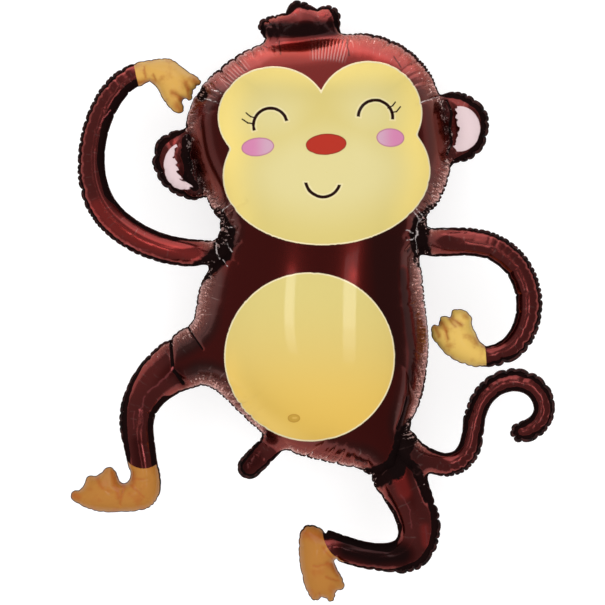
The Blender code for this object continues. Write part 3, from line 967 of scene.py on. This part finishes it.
# Two patches of close ribs high on the forehead, fanned about the middle of the head. Each row:
# where its turn begins and ends in radians, and its nearest and furthest reach in millimetres.
RIB_PATCHES = ((-0.07, 0.26, 131, 160), (-0.87, -0.62, 149, 172))
RIB_PITCH = 4.3  # at 150 mm from the middle
rib_print, given, result = new_group("forehead_ribs", {"Place": "Vector"}, {"Mask": "Float"})
from_middle = rib_print.vector("SUBTRACT", given["Place"], (20.0, 180.0, 0.0))
middle_parts = rib_print.parts(from_middle)
turn = rib_print.math("ARCTAN2", middle_parts["X"], middle_parts["Y"])
reach = rib_print.vector("LENGTH", from_middle)
wave = rib_print.math("SINE", rib_print.times(turn, 2 * math.pi * 150 / RIB_PITCH))
in_patch = 0.0
for first, last, nearest_mm, furthest_mm in RIB_PATCHES:
    across = rib_print.times(rib_print.fade(turn, first - 0.02, first + 0.02),
                             rib_print.fade(turn, last + 0.02, last - 0.02))
    outwards = rib_print.times(rib_print.fade(reach, nearest_mm - 3, nearest_mm + 3),
                               rib_print.fade(reach, furthest_mm + 3, furthest_mm - 3))
    in_patch = rib_print.most(rib_print.times(across, outwards), in_patch)
rib_print.link(result["Mask"], rib_print.times(in_patch, rib_print.fade(wave, -0.6, 1.0)))

PRINT_OUTPUTS = {"Color": "Color", "Opaque": "Float", "Crinkle": "Float", "Gloss": "Float", "Ribs": "Float"}
# The front sheet's print, together with its painted highlights, glints and shade.
sheet_paint, given, result = new_group("print_and_painted_light", {}, PRINT_OUTPUTS)
flat_place = sheet_paint.attribute("flat_place", "Vector")
wavy = sheet_paint.vector("MULTIPLY_ADD", sheet_paint.noise(flat_place, 0.09, 3.0, "Color"), (7.0, 7.0, 0.0),
                  sheet_paint.vector("ADD", flat_place, (-3.5, -3.5, 0.0)))


def oval_inset(shape):
    """Distance in from one printed oval's edge."""
    centre, radii, tilt = shape
    return sheet_paint.use(oval_print, Place=flat_place, Centre=(*centre, 0), Tilt=math.radians(tilt),
                   Radii=(*radii, 1e6))["Inset"]


def folds_drawn(rows, softness, widened=0.0):
    """The mask of each straight fold in a table; its softness may grow with its width."""
    for half_width, start, end in rows:
        yield sheet_paint.use(straight, Place=wavy, Start=(*start, 0), End=(*end, 0), Half_Width=half_width,
                      Softness=softness + widened * half_width)["Mask"]


across_mm, height, _ = sheet_paint.parts(flat_place)
seam_way = sheet_paint.attribute("seam_way", "Vector")
along_seam, run_in_mm, seam_inset = sheet_paint.parts(seam_way)
painted_light_and_shade = sheet_paint.attribute("painted_light_and_shade")
crinkled = sheet_paint.attribute("crinkled")
face = sheet_paint.math("SMOOTH_MAX", sheet_paint.math("SMOOTH_MAX", *[oval_inset(brow) for brow in BROWS], 3.0),
                oval_inset(JOWLS), 6.0)
belly = oval_inset(BELLY)

# Areas: the face has a painted sheen towards its middle and painted light on its sloping sides, the belly
# darkens towards its bottom, hands and feet are mottled with painted shade.
face_mask = sheet_paint.fade(face, -0.5, 0.5)
belly_mask = sheet_paint.fade(belly, -0.5, 0.5)
skin_mask = sheet_paint.fade(sheet_paint.attribute("skin"), -0.5, 0.5)
ear_mask = sheet_paint.fade(sheet_paint.attribute("ear"), -0.5, 0.8)
beside_weld = sheet_paint.fade(run_in_mm, 46.0, 34.0)
colour = sheet_paint.mixed(beside_weld, BROWN_FILM, EDGE_FILM)
# Painted highlights and painted shade on the film, from their table.
colour = sheet_paint.mixed(sheet_paint.fade(painted_light_and_shade, 0.0, 1.0), colour, PAINTED_HIGHLIGHT_FILM)
colour = sheet_paint.mixed(sheet_paint.fade(painted_light_and_shade, 0.0, -0.9), colour, PAINTED_SHADE_FILM)
# The face: a pale painted sheen towards its middle, and painted light on its sloping sides and top.
off_middle = sheet_paint.math("ABSOLUTE", sheet_paint.math("SUBTRACT", across_mm, 27.0))
sloping = sheet_paint.most(sheet_paint.fade(off_middle, 70.0, 125.0), sheet_paint.fade(height, 262.0, 302.0))
face_colour = sheet_paint.mixed(sloping, FACE_EDGE, FACE_SIDE_LIGHT)
face_colour = sheet_paint.mixed(sheet_paint.fade(face, 0.0, 75.0), face_colour, FACE_MIDDLE_SHEEN)
colour = sheet_paint.mixed(face_mask, colour, face_colour)
# The belly darkens towards its bottom, with painted light on its low left rim.
belly_colour = sheet_paint.mixed(sheet_paint.fade(height, 30.0, -170.0), BELLY_YELLOW, BELLY_LOW)
lit_low_rim = sheet_paint.times(sheet_paint.fade(belly, 32.0, 0.0), sheet_paint.fade(height, -40.0, -130.0),
                    sheet_paint.fade(across_mm, 20.0, -50.0))
belly_colour = sheet_paint.mixed(lit_low_rim, belly_colour, BELLY_RIM_LIGHT)
colour = sheet_paint.mixed(belly_mask, colour, belly_colour)
for inset in (face, belly):
    colour = sheet_paint.mixed(sheet_paint.times(sheet_paint.fade(inset, -0.8, 0.0), sheet_paint.fade(inset, 2.2, 1.0)), colour, PRINT_EDGE)
skin_colour = sheet_paint.mixed(sheet_paint.fade(height, 100.0, 200.0), HAND_TAN, RAISED_HAND_TAN)
skin_colour = sheet_paint.mixed(sheet_paint.fade(height, -60.0, -200.0), skin_colour, FOOT_TAN)
# Painted shade on the hands and feet: mottled, and along their folds.
mottled_shade = sheet_paint.fade(sheet_paint.noise(flat_place, 0.05, 4.0), 0.5, 0.75)
skin_colour = sheet_paint.mixed(sheet_paint.times(mottled_shade, 0.55), skin_colour, SKIN_SHADE)
for fold in folds_drawn(SHADED_SKIN_FOLDS, 1.2, 1.0):
    skin_colour = sheet_paint.mixed(sheet_paint.times(fold, 0.75), skin_colour, SKIN_SHADE)
colour = sheet_paint.mixed(skin_mask, colour, skin_colour)
colour = sheet_paint.mixed(ear_mask, colour, EAR_PINK)

# Cheeks, nose and navel are ovals, each with a rim that fades in between two insets.
cheek_colour = sheet_paint.mixed(sheet_paint.fade(off_middle, 70.0, 92.0), CHEEK_LILAC, CHEEK_PINK)
for mark, rim, tint, rim_tint in (
        *((cheek, (2.2, 0.6), cheek_colour, linear(172, 112, 134)) for cheek in CHEEKS),
        (NOSE, (1.8, 0.5), NOSE_RED, linear(128, 40, 30)),
        (NAVEL, (1.8, 0.5), linear(186, 148, 62), linear(176, 132, 54)),
        (NAVEL_MIDDLE, (1.8, 0.5), linear(204, 166, 82), linear(190, 150, 66))):
    inset = oval_inset(mark)
    mark_colour = sheet_paint.mixed(sheet_paint.fade(inset, *rim), tint, rim_tint)
    colour = sheet_paint.mixed(sheet_paint.fade(inset, -0.6, 0.6), colour, mark_colour)
for half_width, widened, share, tint in ((HALO_HALF_WIDTH, 2.0, 0.5, PRINT_EDGE),
                                         (LINE_HALF_WIDTH, 0.0, 1.0, LINE_BROWN)):
    for centre, tilt, radius, cut in EYES_AND_MOUTH:
        stroke = sheet_paint.use(arc, Place=flat_place, Centre=(*centre, 0), Tilt=math.radians(tilt),
                         Radius=radius, Cut=cut - widened, Half_Width=half_width)["Mask"]
        colour = sheet_paint.mixed(sheet_paint.times(stroke, share), colour, tint)
for start, end in LASHES:
    stroke = sheet_paint.use(straight, Place=flat_place, Start=(*start, 0), End=(*end, 0),
                     Half_Width=LASH_HALF_WIDTH, Softness=0.5)["Mask"]
    colour = sheet_paint.mixed(stroke, colour, LINE_BROWN)
pale = sheet_paint.most(face_mask, belly_mask, skin_mask, ear_mask)
film = sheet_paint.math("SUBTRACT", 1.0, pale)

# Where the film is crinkled beside the weld, pale hairs of painted glint are laid over it.
hair_place = sheet_paint.vector("MULTIPLY", seam_way, (1.0, 0.2, 0.0))
hairs = sheet_paint.math("MULTIPLY_ADD", sheet_paint.noise(flat_place, 0.42, 2.0), 0.7, sheet_paint.noise(hair_place, 0.42, 2.0))
crinkle_glints = sheet_paint.times(sheet_paint.fade(sheet_paint.math("MULTIPLY_ADD", crinkled, 0.25, hairs), 1.14, 1.22),
                  sheet_paint.fade(crinkled, 0.05, 0.35))
ribs = sheet_paint.times(sheet_paint.use(rib_print, Place=flat_place)["Mask"], film)
sheet_paint.link(result["Ribs"], ribs)

# Short cross creases beside the weld, about a finger's width apart, get pale painted glints, as do the
# forehead ribs.
CREASE_PITCH = 11.0
crease_count = sheet_paint.math("MULTIPLY_ADD", sheet_paint.noise(flat_place, 0.05, 1.0), 0.9,
                        sheet_paint.math("DIVIDE", along_seam, CREASE_PITCH))
off_crease = sheet_paint.math("ABSOLUTE", sheet_paint.math("SUBTRACT", sheet_paint.math("FRACT", crease_count), 0.5))
tick = sheet_paint.times(sheet_paint.fade(off_crease, 0.075, 0.02), sheet_paint.fade(sheet_paint.noise(flat_place, 0.07, 2.0), 0.47, 0.6),
                 sheet_paint.fade(seam_inset, 6.0, 8.0), beside_weld)
crinkle_glints = sheet_paint.most(crinkle_glints, sheet_paint.times(ribs, 0.2), sheet_paint.times(tick, 0.2), sheet_paint.times(beside_weld, 0.03))
unshaded_film = sheet_paint.times(film, sheet_paint.fade(painted_light_and_shade, -0.5, -0.15))
crinkle_glints = sheet_paint.times(crinkle_glints, unshaded_film)

# Painted shade: the body's sides get a darker, duller brown, all but the forehead.
colour = sheet_paint.mixed(sheet_paint.times(unshaded_film, 0.8, sheet_paint.attribute("side_shade")), colour, SIDE_SHADE_FILM)
colour = sheet_paint.mixed(crinkle_glints, colour, GLINT_FILM)

# Black, part print and part painted shade: a band beside the weld on the limbs, and the deep creases; it
# gives way to the painted glints.
waver = sheet_paint.math("MULTIPLY_ADD", sheet_paint.noise(flat_place, 0.12, 4.0), 6.0, -3.0)
limb_band = sheet_paint.fade(sheet_paint.math("MULTIPLY_ADD", waver, 0.7, sheet_paint.attribute("black_band")), -0.7, 0.7)
crease_edge = sheet_paint.math("MULTIPLY_ADD", waver, 0.12, sheet_paint.attribute("crease_black_print_and_shade"))
black = sheet_paint.times(sheet_paint.most(limb_band, sheet_paint.fade(crease_edge, 0.55, 0.8)),
                  sheet_paint.math("MULTIPLY_ADD", crinkle_glints, -0.6, film))
colour = sheet_paint.mixed(black, colour, BLACK_PRINT_AND_SHADE)
# Painted pale glints on the little folds by the joints, broken up by noise.
fold_glints = sheet_paint.most(*folds_drawn(GLINTING_FOLDS, 0.6))
broken = sheet_paint.fade(sheet_paint.noise(flat_place, 0.22, 3.0), 0.36, 0.56)
colour = sheet_paint.mixed(sheet_paint.times(fold_glints, broken, film), colour, GLINT_PALE)
# Painted highlights along the lit folds, painted shade along the dark ones.
for rows, tint in ((LIT_FOLDS, FOLD_HIGHLIGHT_PINK), (DARK_FOLDS, PAINTED_SHADE_FILM)):
    for fold in folds_drawn(rows, 0.8):
        colour = sheet_paint.mixed(sheet_paint.times(fold, 0.8, film), colour, tint)
sheet_paint.link(result["Color"], colour)
sheet_paint.link(result["Opaque"], sheet_paint.most(pale, black))
sheet_paint.link(result["Crinkle"], sheet_paint.times(crinkled, film))

# The belly's upper part is the glossiest, and black has no gloss.
gloss = sheet_paint.times(sheet_paint.fade(height, -120.0, -50.0), belly_mask)
gloss = sheet_paint.math("MULTIPLY_ADD", skin_mask, 0.25, sheet_paint.math("MULTIPLY_ADD", gloss, 0.8, 0.15))
sheet_paint.link(result["Gloss"], sheet_paint.times(gloss, sheet_paint.math("SUBTRACT", 1.0, black)))

# Fine wrinkles of the film, as a height in millimetres: pleats that run in from the weld, and
# hairs between them.
PLEAT_WIDTH = 5.2
wrinkles, given, result = new_group(
    "film_wrinkles", {"Crinkle": "Float", "Ribs": "Float"}, {"Height": "Float"})
flat_place = wrinkles.attribute("flat_place", "Vector")
seam_way = wrinkles.attribute("seam_way", "Vector")
way_parts = wrinkles.parts(seam_way)
along = wrinkles.math("MULTIPLY_ADD", wrinkles.noise(flat_place, 0.07, 2.0), 14.0, way_parts["X"])
pleat = wrinkles.math("ABSOLUTE", wrinkles.math("SINE", wrinkles.times(along, math.pi / PLEAT_WIDTH)))
pleat = wrinkles.times(pleat, wrinkles.fade(way_parts["Y"], 30.0, 4.0))
hairs = wrinkles.noise(wrinkles.vector("MULTIPLY", seam_way, (1.0, 0.2, 0.0)), 0.7, 2.0)
glitter = wrinkles.noise(flat_place, 0.8, 2.0)
height = wrinkles.math("MULTIPLY_ADD", hairs, 1.6, wrinkles.math("ADD", pleat, glitter))
wrinkles.link(result["Height"], wrinkles.math(
    "MULTIPLY_ADD", given["Ribs"], 0.4, wrinkles.times(height, given["Crinkle"])))


def foil_material(name, print_group):
    """Printed metallised film: a tinted mirror where the print is clear, satin where it is solid."""
    material = bpy.data.materials.new(name)
    material.use_nodes = True
    tree = NodeTree(material.node_tree)
    shader = tree.nodes["Principled BSDF"]
    printed = tree.use(print_group)
    tree.link(shader.inputs["Base Color"], printed["Color"])
    tree.link(shader.inputs["Metallic"], tree.math("SUBTRACT", 1.0, printed["Opaque"]))
    tree.link(shader.inputs["Roughness"], tree.math("MULTIPLY_ADD", printed["Opaque"], 0.25, 0.2))
    tree.link(shader.inputs["Coat Weight"], printed["Gloss"])
    shader.inputs["Coat Roughness"].default_value = 0.06
    shader.inputs["Specular IOR Level"].default_value = 0.0
    shader.inputs["Specular Tint"].default_value = (1.0, 0.58, 0.52, 1.0)
    height = tree.use(wrinkles, Crinkle=printed["Crinkle"], Ribs=printed["Ribs"])["Height"]
    tree.link(shader.inputs["Normal"], tree.bumped(height, 1.0, MM))
    return material


front_sheet.data.materials.append(foil_material("printed_front_film_and_painted_light", sheet_paint))
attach(front_sheet, "root")
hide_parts("foil_envelope")

# ------------------------------------------------------------------------------------- back sheet
# The back sheet: the same film, plain red-brown with tan hands and feet. It mirrors the front
# below the weld, and is pressed flat where the balloon lies on the floor.
back_sheet = bpy.data.objects.new("back_sheet", front_sheet.data.copy())
bpy.context.scene.collection.objects.link(back_sheet)
back_mesh = back_sheet.data
back_mesh.name = "back_sheet"
back_place = np.empty(len(back_mesh.vertices) * 3, np.float32)
back_mesh.vertices.foreach_get("co", back_place)
back_place = back_place.reshape(-1, 3)
back_place[:, 2] = np.maximum(2 * SEAM_HEIGHT - back_place[:, 2], 0)
back_mesh.vertices.foreach_set("co", back_place.ravel())
back_mesh.flip_normals()

plain, given, result = new_group("plain_sheet", {}, PRINT_OUTPUTS)
skin_mask = plain.fade(plain.attribute("skin"), -0.5, 0.5)
for name, value in (
        ("Color", plain.mixed(skin_mask, BROWN_FILM, FOOT_TAN)), ("Opaque", skin_mask), ("Ribs", 0.0),
        ("Crinkle", plain.attribute("crinkled")),
        ("Gloss", plain.math("MULTIPLY_ADD", skin_mask, 0.25, 0.15))):
    plain.link(result[name], value)

back_mesh.materials.clear()
back_mesh.materials.append(foil_material("plain_back_film", plain))
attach(back_sheet, "root")
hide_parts("foil_envelope")

# --------------------------------------------------------------------------------------- weld rim
# The weld: both films pressed into one thin flat ribbon round the whole balloon, darker than the
# sheets. It starts at the sheets' own gathered edge and runs out to the trimmed outline.
inner = gathered_place[seam_loop, :2]
outline_place, outline_inset, _ = nearest(outline)
beside_edge = outline_place.astype(int) % count
trim_width = np.bincount(beside_edge, np.abs(outline_inset), count)
trim_count = np.bincount(beside_edge, minlength=count)
filled = trim_count > 0
trim_width = np.interp(np.arange(count), np.nonzero(filled)[0],
                       (trim_width / np.maximum(trim_count, 1))[filled], period=count)
inner_out = rounded(directions(inner)[1], 2.0)
inner_out /= np.linalg.norm(inner_out, axis=1)[:, None]
reach = along_edge(softened(trim_width, 3.0), around)
WELD_HALF_THICKNESS = 0.25
# Half the ribbon's section: how far out, and how high in half thicknesses.
WELD_SECTION = ((-0.25, 0.1), (0.15, 1.0), (0.6, 1.0), (1.0, 0.6))
bands = []
for upwards, section in ((1, WELD_SECTION), (-1, WELD_SECTION[::-1])):
    for share, height in section:
        band = inner + inner_out * (reach * share)[:, None]
        level = upwards * height * WELD_HALF_THICKNESS
        bands.append(np.column_stack([band, np.full(len(band), level)]))
ring_size = len(inner)
step = np.arange(ring_size)
ahead = (step + 1) % ring_size
weld_faces = np.concatenate([
    np.stack([step + a * ring_size, step + b * ring_size, ahead + b * ring_size, ahead + a * ring_size], 1)
    for a, b in zip(range(len(bands)), [*range(1, len(bands)), 0])])
weld_rim = add_sheet("weld_rim", np.concatenate(bands), weld_faces, {})

weld_material = bpy.data.materials.new("pressed_weld_film")
weld_material.use_nodes = True
tree = NodeTree(weld_material.node_tree)
shader = tree.nodes["Principled BSDF"]
on_piece = tree.filled("TexCoord", ()).outputs["Object"]
tree.link(shader.inputs["Base Color"], tree.mixed(
    tree.fade(tree.noise(on_piece, 160.0), 0.35, 0.7),
    (0.012, 0.007, 0.007, 1.0), (0.07, 0.022, 0.02, 1.0)))
shader.inputs["Metallic"].default_value = 0.8
shader.inputs["Roughness"].default_value = 0.35
tree.link(shader.inputs["Normal"], tree.bumped(tree.noise(on_piece, 700.0), 0.4, 0.0005))
weld_rim.data.materials.append(weld_material)
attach(weld_rim, "root")
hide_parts("foil_envelope")

# ------------------------------------------------------------------------------------------ floor
# A plain pale studio floor, matt and lit from below as a light table is, so shadows stay faint.
floor_mesh = bpy.data.meshes.new("floor")
FLOOR_HALF = 6.0
floor_mesh.from_pydata(
    [(-FLOOR_HALF, -FLOOR_HALF, 0), (FLOOR_HALF, -FLOOR_HALF, 0), (FLOOR_HALF, FLOOR_HALF, 0),
     (-FLOOR_HALF, FLOOR_HALF, 0)], [], [(0, 1, 2, 3)])
floor = bpy.data.objects.new("floor", floor_mesh)
bpy.context.scene.collection.objects.link(floor)
floor_material = bpy.data.materials.new("pale_floor")
floor_material.use_nodes = True
tree = NodeTree(floor_material.node_tree)
shader = tree.nodes["Principled BSDF"]
on_floor = tree.filled("TexCoord", ()).outputs["Object"]
tree.link(shader.inputs["Base Color"], tree.mixed(
    tree.noise(on_floor, 0.8), (0.39, 0.39, 0.39, 1.0), (0.42, 0.42, 0.42, 1.0)))
shader.inputs["Roughness"].default_value = 0.9
shader.inputs["Emission Color"].default_value = (1.0, 1.0, 1.0, 1.0)
shader.inputs["Emission Strength"].default_value = 0.71
floor_mesh.materials.append(floor_material)


# ------------------------------------------------------------------------------ lights and camera
# A broad soft light overhead that the film doesn't mirror, two strip lights and low and far boxes
# that it does, and a dim room. The camera looks straight down with a long lens.
def area_light(name, place, target, size):
    """A rectangular soft light aimed at a point."""
    light = bpy.data.lights.new(name, "AREA")
    light.shape = "RECTANGLE"
    light.size, light.size_y = size
    made = bpy.data.objects.new(name, light)
    made.location = place
    towards = np.subtract(target, place)
    yaw = math.atan2(towards[0], -towards[1])
    pitch = math.atan2(math.hypot(towards[0], towards[1]), -towards[2])
    made.rotation_euler = (pitch, 0, yaw + math.pi)
    made.visible_camera = False
    bpy.context.scene.collection.objects.link(made)
    return made


def mirrored_light(name, place, target, size, radiance):
    """A light that shows only as a reflection."""
    made = area_light(name, place, target, size)
    made.data.energy = radiance * math.pi * size[0] * size[1]
    made.visible_diffuse = False


key = area_light("key", (0, 0, 2.6), (0, 0, 0), (5.0, 5.0))
key.data.energy = 134
key.visible_glossy = False
# Each length of the strips, by its ends and how bright it is.
for low_end, high_end, radiance in ((0.9, 1.8, 0.8), (0.3, 0.9, 1.2), (-0.25, 0.02, 3.0),
                                    (-0.38, -0.25, 1.7), (-0.5, -0.38, 0.9)):
    middle, length = (low_end + high_end) / 2, high_end - low_end
    for name, x, width in (("strip_left", -0.29, 0.13), ("strip_right", 0.50, 0.24)):
        mirrored_light(name, (x, middle, 1.6), (x, middle, 0), (width, length), radiance)
for width, radiance in ((0.85, 1.5), (0.4, 1.8)):
    mirrored_light("low_box", (0.02, 0.555, 0.115), (0.02, 0.3, 0.37), (width, 0.3), radiance)
mirrored_light("far_box", (0.02, 2.0, 1.98), (0.02, 0.0, 1.98), (2.4, 3.24), 1.3)

world = bpy.data.worlds.new("studio_room")
bpy.context.scene.world = world
world.use_nodes = True
tree = NodeTree(world.node_tree)
side = tree.parts(tree.filled("TexCoord", ()).outputs["Generated"])["X"]
tree.link(tree.nodes["Background"].inputs["Color"], tree.mixed(
    tree.fade(side, -0.9, 0.9), (0.37, 0.37, 0.37, 1.0), (0.29, 0.29, 0.29, 1.0)))

CAMERA_HEIGHT = 5.0
VIEW_WIDTH = 0.7865  # across the view at the height of the weld
camera_data = bpy.data.cameras.new("camera")
camera_data.sensor_width = 36.0
camera_data.lens = camera_data.sensor_width * (CAMERA_HEIGHT - SEAM_HEIGHT) / VIEW_WIDTH
camera = bpy.data.objects.new("camera", camera_data)
camera.location = (0, 0, CAMERA_HEIGHT)
bpy.context.scene.collection.objects.link(camera)
bpy.context.scene.camera = camera
bpy.context.scene.view_settings.view_transform = "Standard"
